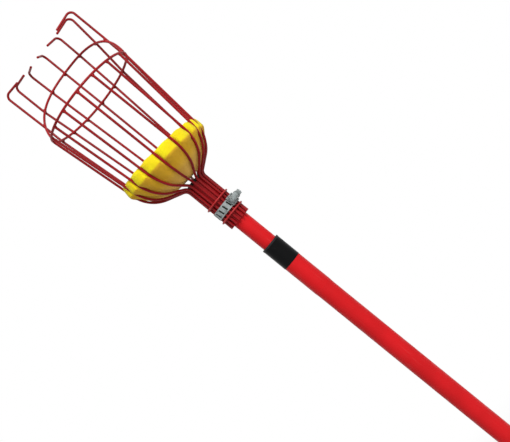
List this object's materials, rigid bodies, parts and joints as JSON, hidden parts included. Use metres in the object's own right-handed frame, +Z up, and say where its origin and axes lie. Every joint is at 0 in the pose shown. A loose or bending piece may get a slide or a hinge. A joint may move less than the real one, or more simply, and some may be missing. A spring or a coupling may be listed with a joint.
{
  "type": "telescopic fruit picker",
  "caption": "Telescopic fruit picker: a wire basket with bent-in picking fingers and a foam cushion, clamped to a two-tube sliding pole with a twist lock inside.",
  "frame": {"origin": "on the pole's axis, at the lower end face of the outer tube", "axes": "+Z up the pole towards the basket's mouth, +Y towards the side with the picking fingers, +X to the right of someone who looks along +Y"},
  "size_m": [0.163, 0.1743, 1.4716],
  "materials": {
    "pole_paint": "satin",
    "wire_paint": "satin",
    "foam": "matte",
    "clamp_steel": "satin",
    "black_plastic": "satin",
    "label_film": "satin",
    "lock_steel": "satin",
    "lock_nylon": "satin"
  },
  "bodies": {
    "pole": {"outer_tube": "pole_paint", "end_cap": "black_plastic", "guide_bush": "black_plastic", "label_band": "label_film"},
    "lock": {"lock_expander": "lock_nylon"},
    "wedge": {"lock_wedge": "lock_nylon"},
    "head": {"inner_tube": "pole_paint", "top_plug": "black_plastic", "lock_plug": "black_plastic", "plug_pin": "lock_steel", "lock_stud": "lock_steel", "stud_retainer": "lock_steel", "neck_sleeve": "wire_paint", "neck_hoop_lower": "wire_paint", "neck_hoop_upper": "wire_paint", "rim_ring": "wire_paint", "finger_hoop": "wire_paint", "finger_wire_1": "wire_paint", "finger_wire_2": "wire_paint", "finger_wire_3": "wire_paint", "finger_wire_4": "wire_paint", "finger_wire_5": "wire_paint", "finger_wire_6": "wire_paint", "finger_wire_7": "wire_paint", "side_wire_1": "wire_paint", "side_wire_2": "wire_paint", "side_wire_3": "wire_paint", "side_wire_4": "wire_paint", "side_wire_5": "wire_paint", "side_wire_6": "wire_paint", "side_wire_7": "wire_paint", "side_wire_8": "wire_paint", "side_wire_9": "wire_paint", "foam_cushion": "foam", "clamp_band": "clamp_steel", "clamp_housing": "clamp_steel"},
    "screw": {"clamp_screw": "clamp_steel"}
  },
  "joints": [
    {"name": "telescope", "type": "slide", "parent": "pole", "child": "lock", "axis": [0, 0, 1], "range_m": [0, 0.78]},
    {"name": "twist_lock", "type": "hinge", "parent": "lock", "child": "head", "pos_m": [0, 0, 0.05], "axis": [0, 0, 1], "range_deg": [0, 180]},
    {"name": "wedge_travel", "type": "slide", "parent": "lock", "child": "wedge", "axis": [0, 0, 1], "range_m": [0, 0.003]},
    {"name": "clamp_turn", "type": "hinge", "parent": "head", "child": "screw", "pos_m": [0.01754, -0.01579, 1.0817], "axis": [0.6691, 0.7431, 0], "continuous": true}
  ],
  "couplings": [
    {"joint": "wedge_travel", "follows": "twist_lock", "m_per_rad": 0.00095493}
  ]
}
